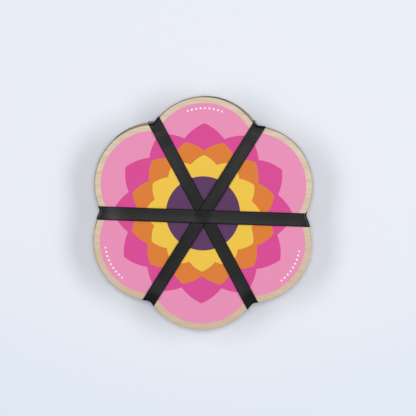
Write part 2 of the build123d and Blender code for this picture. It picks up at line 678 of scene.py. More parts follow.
@dataclass(frozen=True)
class PlywoodFace(Finish):
    """Sanded veneer, darker and warmer towards -Y, with a dark line along its cut edge that is partly laser
    char and partly painted shade, drawn only towards +Y.
    """

    outline: Outline = Outline()
    pale: Colour = linear(224, 207, 184)
    streak: Colour = linear(202, 181, 153)
    streak_share: float = 0.7
    fibre_share: float = 0.16
    # A darker, warmer tone that the veneer takes on towards -Y.
    front_tone: Colour = linear(203, 174, 144)
    front_span: Span = (-90 * MM, 40 * MM)
    front_share: float = 0.6
    # The colour of the dark line along the cut edge: partly laser char, partly painted shade.
    char_and_shade: Colour = linear(65, 43, 27)
    char_and_shade_span: Span = (0.1 * MM, 1.0 * MM)
    # Painted shade: these set how the edge line grows towards +Y, where the shaded edge shows, and leave it
    # out towards -Y.
    edge_shade_way: Axes = (-0.34, 0.94, 0.0)
    edge_shade_span: Span = (-75 * MM, 35 * MM)
    edge_shade_share: float = 0.5
    edge_shade_peak_way: Axes = (-0.09, 0.996, 0.0)
    edge_shade_peak_span: Span = (20 * MM, 60 * MM)
    edge_shade_peak_share: float = 0.45
    roughness: Span = (0.56, 0.68)
    relief: float = 0.05 * MM
    relief_share: float = 0.5
    shine: float = 0.1
    turn: float = 0.0

    @cached_property
    def spot(self) -> Socket:
        """The place on the board, turned back to the board's own axes."""
        values = {"Vector": self.wiring.place(), "Angle": -self.turn}
        return self.wiring.add("ShaderNodeVectorRotate", values, rotation_type="Z_AXIS").outputs[0]

    def veneer(self) -> tuple[Socket, Socket, Socket]:
        """Colours the bare veneer.

        Returns:
            The colour, the depth inside the outline and the fibres.
        """
        net, place = self.wiring, self.spot
        grain = net.group(Effects.grain(), Vector=place)
        depth = net.group(Effects.rim(self.outline), Vector=place)["Depth"]
        wood = net.mix(net.times(grain["Streaks"], self.streak_share), self.pale, self.streak)
        wood = net.mix(net.times(grain["Fibres"], self.fibre_share), wood, self.streak)
        # The veneer turns darker and warmer towards -Y.
        frontward = net.ramp(net.split(place)[1], *self.front_span, self.front_share, 0.0)
        wood = net.mix(frontward, wood, self.front_tone)
        # Painted shade in part: the dark line along the cut edge is strongest towards +Y and absent towards
        # -Y; the rest of it is laser char.
        edge_shade = net.ramp(net.along(place, self.edge_shade_way), *self.edge_shade_span, 0.0, self.edge_shade_share)
        edge_shade_peak = net.ramp(net.along(place, self.edge_shade_peak_way), *self.edge_shade_peak_span, 0.0, self.edge_shade_peak_share)
        char_and_shade_mask = net.times(net.ramp(depth, *self.char_and_shade_span, 1.0, 0.0), net.total(edge_shade, edge_shade_peak))
        return net.mix(char_and_shade_mask, wood, self.char_and_shade), depth, grain["Fibres"]

    def paint(self) -> None:
        """Paints bare veneer."""
        wood, _, fibres = self.veneer()
        self.dress({
            "Base Color": wood,
            "Roughness": self.wiring.ramp(fibres, 0, 1, *self.roughness),
            "Normal": self.wiring.bump(fibres, self.relief, self.relief_share),
            "Specular IOR Level": self.shine,
        })


@dataclass(frozen=True)
class PetalRing:
    """One ring of the printed rosette."""

    ink: Colour
    tip: float
    width: float
    turn: float


@dataclass(frozen=True)
class PrintedFace(PlywoodFace):
    """Veneer printed with a rosette of pointed petals, up to a bare rim."""

    margin: float = 4.95 * MM
    petals: int = 12
    ground: Colour = linear(234, 145, 184)
    disc: Colour = linear(91, 57, 97)
    disc_radius: float = 28.6 * MM
    bead: Colour = linear(250, 246, 246)
    bead_radius: float = 0.75 * MM
    bead_edge: float = 0.1 * MM
    bead_pitch: float = 3.4 * MM
    bead_row_half: float = 14.0 * MM
    bead_inset: float = 9.0 * MM
    show_through: float = 0.025
    roughness: Span = (0.62, 0.8)
    relief_share: float = 0.3
    rings: tuple[PetalRing, ...] = (
        PetalRing(linear(217, 75, 149), 69.5 * MM, 46.0 * MM, 0.0),
        PetalRing(linear(221, 126, 55), 56.5 * MM, 37.5 * MM, TAU / 24),
        PetalRing(linear(239, 198, 75), 45.0 * MM, 30.0 * MM, 0.0),
    )

    def beads(self) -> Socket:
        """Marks a short row of beads near the rim of every other lobe.

        Returns:
            The beads' mask.
        """
        net = self.wiring
        row = self.outline.lobe_radius - self.bead_inset
        folded = net.group(Effects.sector(), Vector=self.spot, Count=self.outline.lobes / 2, Turn=TAU / 4)
        along = net.minus(folded["Along"], self.outline.lobe_reach)
        angle = net.math("ARCTAN2", folded["Across"], along)
        off_row = net.minus(net.diagonal(along, folded["Across"]), row)
        beside = net.times(net.fold(angle, self.bead_pitch / row), row)
        limits = self.bead_radius - self.bead_edge, self.bead_radius + self.bead_edge
        bead = net.ramp(net.diagonal(off_row, beside), *limits, 1.0, 0.0)
        return net.times(bead, net.math("LESS_THAN", net.size(angle), self.bead_row_half / row))

    def paint(self) -> None:
        """Paints the veneer, then the inks from the ground up."""
        net, place = self.wiring, self.spot
        wood, depth, fibres = self.veneer()
        ink: Feed = self.ground
        for ring in self.rings:
            sizes = {"Count": float(self.petals), "Turn": ring.turn, "Tip": ring.tip, "Width": ring.width}
            ink = net.mix(net.group(Effects.leaf_ring(), Vector=place, **sizes)["Mask"], ink, ring.ink)
        x, y, _ = net.split(place)
        ink = net.mix(net.inked(net.minus(self.disc_radius, net.diagonal(x, y))), ink, self.disc)
        ink = net.mix(self.beads(), ink, self.bead)
        ink = net.mix(net.times(fibres, self.show_through), ink, self.streak)
        printed = net.inked(depth, self.margin)
        self.dress({
            "Base Color": net.mix(printed, wood, ink),
            "Roughness": net.ramp(printed, 0, 1, *self.roughness),
            "Normal": net.bump(fibres, self.relief, self.relief_share),
            "Specular IOR Level": self.shine,
        })


@dataclass(frozen=True)
class PlywoodEdge(Finish):
    """A laser-cut plywood edge: plies in turn, browned by the cut."""

    thickness: float = 5.0 * MM
    plies: int = 5
    ply_waver: float = 0.22
    waver_scales: Axes = (60, 60, 60)
    face_ply: Colour = linear(150, 112, 76)
    cross_ply: Colour = linear(106, 74, 48)
    char: Colour = linear(58, 40, 28)
    glue_span: Span = (0.36, 0.5)
    glue_share: float = 0.7
    scratch_scales: Axes = (1500, 1500, 45)
    scratch_span: Span = (0.42, 0.7)
    scratch_share: float = 0.75
    roughness: Span = (0.6, 0.8)
    relief: float = 0.12 * MM
    relief_share: float = 0.6

    def paint(self) -> None:
        """Paints the plies, their glue lines and the char of the cut."""
        net = self.wiring
        place = net.place()
        waver = net.stray(net.noise(place, self.waver_scales, 2.0), self.ply_waver)
        height = net.total(net.over(net.split(place)[2], self.thickness / self.plies), waver)
        off_middle = net.size(net.minus(net.math("PINGPONG", height, 1.0), 0.5))
        cross = net.math("MODULO", net.math("FLOOR", height), 2.0)
        scratches = net.noise(place, self.scratch_scales, 2.0)
        ply = net.mix(cross, self.face_ply, self.cross_ply)
        ply = net.mix(net.ramp(off_middle, *self.glue_span, 0.0, self.glue_share), ply, self.char)
        ply = net.mix(net.ramp(scratches, *self.scratch_span, 0.0, self.scratch_share), ply, self.char)
        self.dress({
            "Base Color": ply,
            "Roughness": net.ramp(scratches, *NOISE_SPAN, *self.roughness),
            "Normal": net.bump(scratches, self.relief, self.relief_share),
        })


@dataclass(frozen=True)
class PulpSheet(Finish):
    """Card or paper: one pulp in two tones, with flecks."""

    light: Colour = linear(240, 236, 226)
    shade: Colour = linear(224, 217, 203)
    fibre_share: float = 0.35
    fleck: Colour = linear(190, 178, 158)
    fleck_share: float = 0.3
    roughness: Span = (0.82, 0.9)
    relief: float = 0.06 * MM
    relief_share: float = 0.7

    def paint(self) -> None:
        """Paints the pulp and raises its fibres."""
        net = self.wiring
        pulp = net.group(Effects.pulp(), Vector=net.place())
        colour = net.mix(pulp["Mottle"], self.light, self.shade)
        colour = net.mix(net.times(pulp["Fibres"], self.fibre_share), colour, self.shade)
        colour = net.mix(net.times(pulp["Flecks"], self.fleck_share), colour, self.fleck)
        self.dress({
            "Base Color": colour,
            "Roughness": net.ramp(pulp["Fibres"], 0, 1, *self.roughness),
            "Normal": net.bump(pulp["Fibres"], self.relief, self.relief_share),
        })


@dataclass(frozen=True)
class WovenElastic(Finish):
    """Woven elastic: lengthwise cords bound by a staggered weft, with painted shade darkening it towards its
    edges.

    A strap's polish mark says where it is rubbed glossy, above 0, or pressed dull, below 0.
    """

    width: float = 10.0 * MM
    cords: int = 9
    weft_pitch: float = 0.55 * MM
    dark: Colour = linear(8, 8, 9)
    light: Colour = linear(30, 30, 32)
    ridge_share: float = 0.22
    weft_share: float = 0.2
    fuzz_scales: Axes = (900, 2600, 1)
    fuzz_share: float = 0.25
    height_tone: float = 0.8
    wear_scales: Axes = (40, 160, 1)
    wear_tone: float = 0.45
    tone_span: Span = (0.2, 1.1)
    selvedge: float = 0.9 * MM
    # Painted shade: how dark the colour gets at the strap's edges.
    selvedge_shade: float = 0.25
    selvedge_matt: float = 0.55
    pull_scales: Axes = (14, 420, 1)
    pull_share: float = 0.14
    roughness: Span = (0.28, 0.38)
    coat_roughness: float = 0.3
    relief: float = 0.16 * MM
    relief_share: float = 0.2
    shine: float = 0.09
    sheen: float = 0.03
    sheen_roughness: float = 0.4

    def paint(self) -> None:
        """Paints the cords and the weft along the strap's own map."""
        net = self.wiring
        spot = net.weave_place()
        along, across, _ = net.split(spot)
        cord = net.times(net.over(across, self.width), float(self.cords))
        stagger = net.times(net.math("PINGPONG", net.math("ROUND", cord), 1.0), 0.5)
        ridge = net.times(net.wave(cord), self.ridge_share)
        weft = net.times(net.wave(net.total(net.over(along, self.weft_pitch), stagger)), self.weft_share)
        fuzz = net.noise(spot, self.fuzz_scales)
        height = net.total(ridge, weft, 0.5, net.stray(fuzz, self.fuzz_share))
        wear = net.noise(spot, self.wear_scales, 2.0)
        tone = net.total(net.times(height, self.height_tone), net.times(wear, self.wear_tone))
        half = self.width / 2
        # Painted shade: the colour darkens towards the strap's edges, where they roll away from the light;
        # the same mask makes them matt.
        inside = net.ramp(net.size(across), half - self.selvedge, half, 1.0, self.selvedge_shade)
        tone = net.times(net.ramp(tone, *self.tone_span), inside)
        matt = net.times(net.minus(1.0, inside), self.selvedge_matt)
        pulled = net.stray(net.noise(spot, self.pull_scales, 2.0), self.pull_share)
        polish = net.add("ShaderNodeAttribute", attribute_name=POLISH_MAP).outputs["Fac"]
        dull = net.math("MAXIMUM", net.times(polish, -1.0), 0.0)
        self.dress({
            "Base Color": net.mix(tone, self.dark, self.light),
            "Roughness": net.total(net.ramp(fuzz, *NOISE_SPAN, *self.roughness), matt, pulled, dull),
            "Coat Weight": net.math("MAXIMUM", polish, 0.0),
            "Coat Roughness": self.coat_roughness,
            "Normal": net.bump(height, self.relief, self.relief_share),
            "Specular IOR Level": self.shine,
            "Sheen Weight": self.sheen,
            "Sheen Roughness": self.sheen_roughness,
        })


@dataclass(frozen=True)
class SewingThread(Finish):
    """Twisted black thread."""

    dark: Colour = linear(16, 16, 18)
    light: Colour = linear(58, 58, 62)
    twist_pitch: float = 0.5 * MM
    roughness: Span = (0.6, 0.42)
    relief: float = 0.08 * MM
    relief_share: float = 0.8

    def paint(self) -> None:
        """Paints the strands that wind round the thread, along its own map."""
        net = self.wiring
        along, around, _ = net.split(net.weave_place())
        strand = net.wave(net.total(net.over(along, self.twist_pitch), around))
        height = net.ramp(strand, -1, 1)
        self.dress({
            "Base Color": net.mix(height, self.dark, self.light),
            "Roughness": net.ramp(strand, -1, 1, *self.roughness),
            "Normal": net.bump(height, self.relief, self.relief_share),
        })


@dataclass(frozen=True)
class StudioFloor(Finish):
    """A pale paper sweep with painted shade: a little darker and cooler towards the viewer, where the light
    falls off.
    """

    far: Colour = linear(236, 239, 248)
    # Painted shade: the floor's tone towards the viewer, where the light falls off.
    near: Colour = linear(231, 238, 248)
    fade: Span = (-0.16, -0.09)
    shade_bow: float = 1.7
    cloud_scales: Axes = (3, 3, 3)
    cloud: float = 0.03
    roughness: float = 0.85
    shine: float = 0.1

    def paint(self) -> None:
        """Paints the lit tone and the painted shade, which meet along a soft bow in front of the press."""
        net = self.wiring
        place = net.place()
        x, y, _ = net.split(place)
        shade_bow = net.times(net.times(x, x), -self.shade_bow)
        cloud = net.stray(net.noise(place, self.cloud_scales, 1.0), self.cloud)
        # Painted shade: the share of the darker, cooler tone, growing towards the viewer.
        falloff_shade = net.ramp(net.total(y, shade_bow, cloud), *self.fade, 1.0, 0.0)
        self.dress({
            "Base Color": net.mix(falloff_shade, self.far, self.near),
            "Roughness": self.roughness,
            "Specular IOR Level": self.shine,
        })


@dataclass
class Layer:
    """One flat layer of the stack, with its node, body, slot name and turn; the slot name is not used."""

    node: str
    body: str
    slot: str
    turn: float
    outline: Outline

    @property
    def thickness(self) -> float:
        """The layer's thickness, from the frame."""
        low, high = span(self.node)
        return high - low

    def draft(self) -> MeshDraft:
        """The layer's mesh, standing on its own plane; each kind has its own."""
        raise NotImplementedError

    def materials(self) -> list[Material]:
        """One material for each of the mesh's slots."""
        raise NotImplementedError

    def build(self) -> Object:
        """Makes the piece where its node lies.

        Returns:
            The piece, riding on its body in place of the node.
        """
        piece = self.draft().piece(f"{self.node}_dressed", self.materials())
        piece.data.transform(Matrix.Rotation(self.turn, 4, "Z"))
        piece.location.z = span(self.node)[0]
        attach(piece, self.body)
        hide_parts(self.node)
        return piece


@dataclass
class Board(Layer):
    """A plywood board with eased edges."""

    face: BoardFace = BoardFace.BARE
    ease: float = 0.4 * MM
    ease_steps: int = 4

    def materials(self) -> list[Material]:
        """Paints the board.

        Returns:
            The materials of the upper face, the cut edge and the underside.
        """
        bare = PlywoodFace(f"{self.node}_veneer", turn=self.turn)
        printed = PrintedFace("printed_veneer", turn=self.turn)
        upper = printed if self.face is BoardFace.PRINTED else bare
        return [upper.material(), PlywoodEdge("plywood_edge").material(), bare.material()]

    def draft(self) -> MeshDraft:
        """Shapes the board.

        Returns:
            Rings from the underside's rim over both eased edges, and two faces.
        """
        draft = MeshDraft()
        levels = []
        for angle in evenly(0, TAU / 4, self.ease_steps):
            levels.append((-self.ease * (1 - math.sin(angle)), self.ease * (1 - math.cos(angle))))
        levels += [(inset, self.thickness - height) for inset, height in reversed(levels)]
        rings = [draft.add(raised(self.outline.points(inset), height)) for inset, height in levels]
        slots = [2] * self.ease_steps + [1] + [0] * self.ease_steps
        for lower, upper, slot in zip(rings, rings[1:], slots):
            draft.bridge(lower, upper, slot)
        draft.cap(rings[-1], slot=0)
        draft.cap(rings[0], slot=2, up=False)
        return draft


@dataclass
class Sheet(Layer):
    """A flat sheet of paper with a slightly uneven cut edge."""

    inset: float = 0.5 * MM
    waver: float = 0.1 * MM
    wavers_round: tuple[int, int] = (13, 29)
    phase: float = 0.0

    def materials(self) -> list[Material]:
        """Blotting paper all over."""
        return [PulpSheet("blotting_pulp").material()]

    def cut_edge(self) -> list[Vector]:
        """The outline as the scissors left it.

        Returns:
            Points round the outline, which stray a little inwards.
        """
        points = self.outline.points(-self.inset)
        slow, fast = self.wavers_round
        cut = []
        for number, point in enumerate(points):
            way = TAU * number / len(points)
            stray = 2 + math.sin(slow * way + self.phase) + math.sin(fast * way + 2 * self.phase)
            cut.append(point - point.normalized() * self.waver * stray / 4)
        return cut

    def plate(self, draft: MeshDraft, low: float, high: float) -> None:
        """Adds a flat plate of the cut outline.

        Args:
            draft: The mesh that it goes into.
            low: The height of its underside.
            high: The height of its upper face.
        """
        edge = self.cut_edge()
        lower, upper = draft.add(raised(edge, low)), draft.add(raised(edge, high))
        draft.bridge(lower, upper)
        draft.cap(upper)
        draft.cap(lower, up=False)

    def draft(self) -> MeshDraft:
        """Shapes the sheet.

        Returns:
            One plate.
        """
        draft = MeshDraft()
        self.plate(draft, 0, self.thickness)
        return draft


@dataclass
class CorrugatedCard(Sheet):
    """Two kraft liners with a fluted sheet between them."""

    liner: float = 0.3 * MM
    wall: float = 0.3 * MM
    pitch: float = 6.4 * MM
    steps_a_flute: int = 14
    recess: float = 0.2 * MM
    sector: float = 0.0

    def materials(self) -> list[Material]:
        """Paints the card.

        Returns:
            Brown kraft for all of it.
        """
        kraft = PulpSheet(
            "brown_kraft",
            light=linear(188, 148, 104),
            shade=linear(160, 121, 80),
            fleck=linear(112, 80, 50),
            fleck_share=0.6,
        )
        return [kraft.material()]

    def flute(self, place: float) -> tuple[Vector, Vector]:
        """The fluted sheet's middle and its normal, in the plane across the flutes.

        Args:
            place: The distance from the card's middle.

        Returns:
            The point and the normal, with no part along the flutes.
        """
        swing = (self.thickness - 2 * self.liner - self.wall) / 2
        angle = TAU * place / self.pitch
        slope = swing * TAU / self.pitch * math.sin(angle)
        middle = Vector((place, 0, self.thickness / 2 - swing * math.cos(angle)))
        return middle, Vector((-slope, 0, 1)).normalized()

    def fluted_strip(self, draft: MeshDraft, places: Sequence[float], part: int) -> None:
        """Adds one stretch of the fluted sheet.

        Args:
            draft: The mesh that it goes into.
            places: Distances from the card's middle, in rising order.
            part: Which of the outline's spans it fills.
        """
        rows: list[list[Vector]] = [[], [], [], []]
        for place in places:
            spans = self.outline.chord(place, -self.inset - self.recess)
            near, far = spans[min(part, len(spans) - 1)]
            middle, normal = self.flute(place)
            for row, end, side in zip(rows, (near, near, far, far), (-1, 1, 1, -1)):
                row.append(middle + normal * side * self.wall / 2 + Vector((0, end, 0)))
        turn = Matrix.Rotation(self.sector, 3, "Z")
        numbers = [draft.add(turn @ point for point in row) for row in rows]
        for here, row in enumerate(numbers):
            draft.bridge(row, numbers[(here + 1) % len(numbers)], closed=False)
        draft.face([row[0] for row in reversed(numbers)])
        draft.face([row[-1] for row in numbers])

    def draft(self) -> MeshDraft:
        """Shapes the card.

        Returns:
            Both liners, and the fluted sheet in five stretches: one across the middle, one in each side lobe.
        """
        draft = MeshDraft()
        self.plate(draft, 0, self.liner)
        self.plate(draft, self.thickness - self.liner, self.thickness)
        along, side = self.outline.lobe_side
        radius = self.outline.lobe_radius - self.inset - self.recess
        split = along + math.sqrt(radius**2 - side**2)
        step = self.pitch / self.steps_a_flute
        self.fluted_strip(draft, evenly(-split, split, round(2 * split / step)), 0)
        tip = along + radius - step
        outer = evenly(split + step / 2, tip, round((tip - split) / step))
        for part in (0, 1):
            self.fluted_strip(draft, outer, part)
            self.fluted_strip(draft, [-place for place in reversed(outer)], part)
        return draft


@dataclass
class PressStack:
    """The boards, cards and papers, a little twisted from the lower board up."""

    outline: Outline = Outline()
    pressing_layers: int = 4
    twist: float = math.radians(1.8)
    jitter: float = math.radians(0.35)
    jitter_phase: float = math.radians(140)

    def body(self, leaf: int) -> str:
        """The body that carries a leaf of the stack.

        Args:
            leaf: The leaf, counted from the lower board.

        Returns:
            The body's name.
        """
        if leaf == 0:
            return "base"
        return "lid" if leaf == self.pressing_layers else f"leaf_{leaf}"

    def nodes(self) -> list[tuple[str, str]]:
        """Names the layers.

        Returns:
            Every layer's node and body, from the table up.
        """
        layers = [("bottom_board", self.body(0))]
        for leaf in range(self.pressing_layers + 1):
            if leaf > 0:
                layers.append((f"blotter_{leaf}_upper", self.body(leaf)))
            layers.append((f"card_{leaf + 1}", self.body(leaf)))
            if leaf < self.pressing_layers:
                layers.append((f"blotter_{leaf + 1}_lower", self.body(leaf)))
        layers.append(("top_board", self.body(self.pressing_layers)))
        return layers

    def turn(self, number: int, count: int) -> float:
        """How far a layer is turned.

        Args:
            number: The layer, from the table up.
            count: How many layers there are.

        Returns:
            The angle, which for a sheet strays a little from the even fan.
        """
        fan = self.twist / 2 * (2 * number / (count - 1) - 1)
        if number in (0, count - 1):
            return fan
        return fan + self.jitter * math.sin(number * self.jitter_phase)

    def layers(self) -> list[Layer]:
        """Lays out the stack.

        Returns:
            Every layer, ready to build.
        """
        made: list[Layer] = []
        nodes = self.nodes()
        for number, (node, body) in enumerate(nodes):
            shared = self.turn(number, len(nodes)), self.outline
            phase = float(number)
            if node == "bottom_board":
                made.append(Board(node, body, "plywood", *shared))
            elif node == "top_board":
                made.append(Board(node, body, "printed_plywood", *shared, face=BoardFace.PRINTED))
            elif node.startswith("card"):
                sector = 2 * self.outline.half_sector * int(node[-1])
                made.append(CorrugatedCard(node, body, "kraft_card", *shared, phase=phase, sector=sector))
            else:
                made.append(Sheet(node, body, "blotting_paper", *shared, phase=phase))
        return made


@dataclass
class Strap:
    """One elastic loop, with its lap under the press."""

    level: Level
    outline: Outline = Outline()
    thickness: float = 0.9 * MM
    gap: float = 0.05 * MM
    half_twist: float = PressStack.twist / 2
    bend: float = 1.9 * MM
    bulge: float = 0.15 * MM
    bulge_run: float = 8.0 * MM
    crest: float = 0.6 * MM
    crest_run: float = 14.0 * MM
    droop_share: float = 0.45
    curl: float = 0.11 * MM
    ride_share: float = 0.2
    ride_span: Span = (2.5 * MM, 7.0 * MM)
    wall_share: float = 0.6
    lift_ease: float = 1.5 * MM
    dull_span: Span = (15.0 * MM, 50.0 * MM)
    far_dull: float = 0.045
    far_span: Span = (10.0 * MM, 55.0 * MM)
    worn_gloss: float = 0.03
    fold_gloss: float = 0.8
    fold_lean: tuple[float, float, float, float] = (4.0, 14.0, 18.0, 40.0)
    rub_gloss: float = 0.13
    rub_span: tuple[float, float, float, float] = (50.0 * MM, 70.0 * MM, 72.0 * MM, 76.5 * MM)
    map_step: float = 0.7
    lap_length: float = 15.0 * MM
    lap_to_notch: float = 5.0 * MM
    lap_ramp: float = 3.5 * MM
    lap_rest_share: float = 0.1
    lap_end_share: float = 0.8
    lap_steps: int = 14
    cup_run: float = 12.0 * MM
    cord_depth: float = 0.015 * MM
    cord_fade: float = 0.5 * MM
    crown: float = 0.04 * MM
    steps_across: int = 54
    edge_steps: int = 4
    run_step: float = 1.6 * MM
    bend_steps: int = 6
    wall_steps: int = 16
    sharp_degrees: float = 50
    body: str = "base"

    @cached_property
    def fit(self) -> StrapFit:
        """How this strap lies."""
        return STRAP_FITS[self.level]

    @cached_property
    def turn(self) -> Matrix:
        """Turns the strap from the X axis to its own pair of notches."""
        sectors = len(Level) - 1 - self.level.value
        return Matrix.Rotation(2 * self.outline.half_sector * sectors, 3, "Z")

    @cached_property
    def notch_reach(self) -> float:
        """How far from the middle the boards' notch lies."""
        return self.outline.notch_depth(0, 0)

    @cached_property
    def crossing_reach(self) -> float:
        """How far the level part over the crossing straps reaches."""
        angle = 2 * self.outline.half_sector
        shift = max(fit.slip for fit in STRAP_FITS.values()) / math.sin(angle)
        return self.fit.width / 2 * (1 / math.sin(angle) + 1 / math.tan(angle)) + shift

    @cached_property
    def lap_reach(self) -> float:
        """How far from the middle the lap's own middle lies."""
        return self.notch_reach - self.lap_to_notch - self.lap_length / 2

    @cached_property
    def heights(self) -> Span:
        """Heights of the strap's middle against the lower and the upper board."""
        half = self.thickness / 2
        return span("bottom_board")[0] - half, span("top_board")[1] + half

    def reach(self, across: float, side: float, height: float) -> float:
        """How far from the middle the strap's own middle lies where it hugs the twisted stack.

        Args:
            across: The distance from the strap's middle line.
            side: 1 at the notch along +X, -1 at the other.
            height: The height over the floor.

        Returns:
            The distance along the strap's run.
        """
        low, high = span("bottom_board")[1], span("top_board")[0]
        share = min(max((height - low) / (high - low), 0.0), 1.0)
        turn = side * self.half_twist * (2 * share - 1)
        beside = across - self.fit.slip - self.notch_reach * math.sin(turn)
        stand_off = self.gap + self.wall_share * self.thickness / 2
        return self.outline.notch_depth(beside, stand_off) - beside * math.sin(turn)

    def corner(self, side: float, height: float) -> float:
        """How far from the middle the bend over a notch's edge begins."""
        return self.reach(0, side, height) + self.bulge - self.bend

    def swell(self, away: float) -> float:
        """How far the stiff elastic stands off the stack at a distance from a bend."""
        return self.bulge * (1 - smooth_step(away, 0, self.bulge_run))

    def arch(self, away: float) -> float:
        """How far the stiff upper run is arched off the board, nearer to the bend on the outer straps.

        Args:
            away: The distance from the bend.

        Returns:
            The height off the board.
        """
        droop = self.bulge_run * (1 - self.droop_share * self.level.value)
        heel = self.crest - (self.crest - self.bulge) * droop / self.bulge_run
        rise = heel + (self.crest - heel) * smooth_step(away, 0, droop)
        return rise * (1 - smooth_step(away, droop, droop + self.crest_run))

    def ride(self, point: Vector, across: float) -> float:
        """How far an edge of the upper run stands up.

        Both edges curl where they lie free, and one of them rides on the crossing.

        Args:
            point: A point of the middle line.
            across: The distance from the middle line.

        Returns:
            The rise, which is nothing on the underside.
        """
        if point.z < span("top_board")[1]:
            return 0.0
        away, edge = abs(point.x), 2 * across / self.fit.width
        corner = self.corner(math.copysign(1, point.x), point.z)
        free = 1 - smooth_step(away, corner - self.bulge_run, corner)
        if self.level is not Level.OUTER:
            free *= smooth_step(away, self.crossing_reach, self.crossing_reach + self.bulge_run)
        tilt = self.ride_share * self.fit.slip * (1 - smooth_step(away, *self.ride_span))
        return self.curl * free * edge**2 + tilt * (1 + edge) / 2

    def polish(self, point: Vector, outward: Vector) -> float:
        """How glossy or dull the upper run has become.

        The outer strap is worn a little all over, and more at its folds and where a hand grips it. The others
        are dull near the crossing and towards one end.

        Args:
            point: A point of the middle line.
            outward: The direction away from the stack there.

        Returns:
            The share of gloss above 0, or the added roughness below 0.
        """
        if point.z < span("top_board")[1] - self.bend / 2:
            return 0.0
        if self.level is not Level.OUTER:
            pressed = self.fit.dull * (1 - smooth_step(abs(point.x), *self.dull_span))
            return -pressed - self.far_dull * smooth_step(-point.x, *self.far_span)
        lean = math.degrees(math.acos(min(outward.z, 1.0)))
        fold = smooth_step(lean, *self.fold_lean[:2]) * (1 - smooth_step(lean, *self.fold_lean[2:]))
        rub = smooth_step(-point.x, *self.rub_span[:2]) * (1 - smooth_step(-point.x, *self.rub_span[2:]))
        return max(self.worn_gloss, self.fold_gloss * fold, self.rub_gloss * rub)

    def thinness(self, point: Vector) -> float:
        """The thickness share at a point of the middle line: the elastic is pulled thin round the edges."""
        inside = self.corner(math.copysign(1, point.x), point.z) - abs(point.x)
        return self.wall_share + (1 - self.wall_share) * smooth_step(inside, 0, self.bulge_run)

    def tent(self, place: float) -> float:
        """The share of the full lift at a distance from the middle, with plain corners."""
        run = self.notch_reach - self.crossing_reach
        return min(max((self.notch_reach - abs(place)) / run, 0.0), 1.0)

    def lift(self, place: float) -> float:
        """How far the strap is held off the board by those it crosses.

        Args:
            place: The distance from the middle.

        Returns:
            The lift, eased where the slope begins.
        """
        beside = self.tent(place - self.lift_ease), self.tent(place + self.lift_ease)
        share = (beside[0] + 2 * self.tent(place) + beside[1]) / 4
        return self.level.value * self.thickness * share

    def half_loop(self, side: int) -> list[Vector]:
        """Walks the strap's middle line from the top of the press to its underside, by way of one notch.

        Args:
            side: 1 by the notch along +X, -1 by the other.

        Returns:
            Points in the plane across the notch.
        """
        low, high = self.heights
        line = []
        for height, up, swell in ((high, 1, self.arch), (low, -1, self.swell)):
            corner = self.corner(side, height)
            run = []
            for place in evenly(0, corner, round(corner / self.run_step)):
                run.append((place, height + up * (self.lift(place) + swell(corner - place))))
            for angle in evenly(TAU / 4, 0, self.bend_steps)[1:]:
                place = corner + self.bend * math.cos(angle)
                run.append((place, height + up * (swell(0) - self.bend * (1 - math.sin(angle)))))
            line += run if up > 0 else self.wall(side) + run[::-1]
        return [Vector((side * place, 0, height)) for place, height in line]

    def wall(self, side: int) -> list[Span]:
        """Points down one notch, between the two bends.

        Args:
            side: 1 at the notch along +X, -1 at the other.

        Returns:
            Distances from the middle and heights, from the top down.
        """
        low, high = self.heights
        top, foot = high + self.bulge - self.bend, low - self.bulge + self.bend
        points = []
        for height in evenly(top, foot, self.wall_steps)[1:-1]:
            swell = self.swell(min(top - height, height - foot))
            points.append((self.reach(0, side, height) + swell, height))
        return points

    def section(self) -> list[Span]:
        """The strap's cross-section.

        Returns:
            Places across it and heights off its middle, round both faces.
        """
        round_off = self.thickness / 2
        flat = self.fit.width / 2 - round_off
        edge = round_off - self.crown
        angles = evenly(0, TAU / 4, self.edge_steps)
        turned = [(round_off * math.sin(angle), edge * math.cos(angle)) for angle in angles]
        cords = WovenElastic("black_elastic").cords
        half = [(-flat - out, height) for out, height in turned[:0:-1]]
        for place in evenly(-flat, flat, self.steps_across):
            groove = 0.5 + 0.5 * math.cos(TAU * cords * place / self.fit.width)
            fade = smooth_step(flat - abs(place), 0, self.cord_fade)
            sunk = self.cord_depth * (1 - groove) * fade + self.crown * (place / flat) ** 4
            half.append((place, round_off - sunk))
        half += [(flat + out, height) for out, height in turned[1:]]
        return half + [(across, -height) for across, height in reversed(half[1:-1])]

    def cup(self, point: Vector, across: float) -> float:
        """How far the strap's edge is pushed out along its run by the notch's flanks.

        Args:
            point: A point of the middle line.
            across: The distance from the middle line.

        Returns:
            The shift along the run.
        """
        side = math.copysign(1, point.x)
        corner = self.corner(side, point.z)
        share = smooth_step(abs(point.x), corner - self.cup_run, corner)
        return side * share * (self.reach(across, side, point.z) - self.reach(0, side, point.z))

    def sweep(self, draft: MeshDraft, line: Sequence[Vector], thin: Sequence[float], closed: bool) -> None:
        """Sweeps the cross-section along a line.

        Args:
            draft: The mesh that it goes into.
            line: The middle line, with the outside on its left.
            thin: The thickness share at each point.
            closed: Whether the line closes on itself.
        """
        count = len(line)
        section = self.section()
        rings, runs = [], []
        run = self.map_step * self.level.value
        for number, point in enumerate(line):
            before = line[number - 1] if closed or number else point
            after = line[(number + 1) % count] if closed or number + 1 < count else point
            along = (after - before).normalized()
            outward = Vector((-along.z, 0, along.x))
            run += (point - before).length if number else 0.0
            runs.append(run)
            ring = []
            for across, height in section:
                shift = Vector((self.cup(point, across), across - self.fit.slip, self.ride(point, across)))
                ring.append(self.turn @ (point + outward * height * thin[number] + shift))
            rings.append(draft.add(ring))
            draft.polish += [self.polish(point, outward)] * len(ring)
        if closed:
            runs.append(run + (line[0] - line[-1]).length)
        draft.tube(rings, runs, [across for across, _ in section + section[:1]])

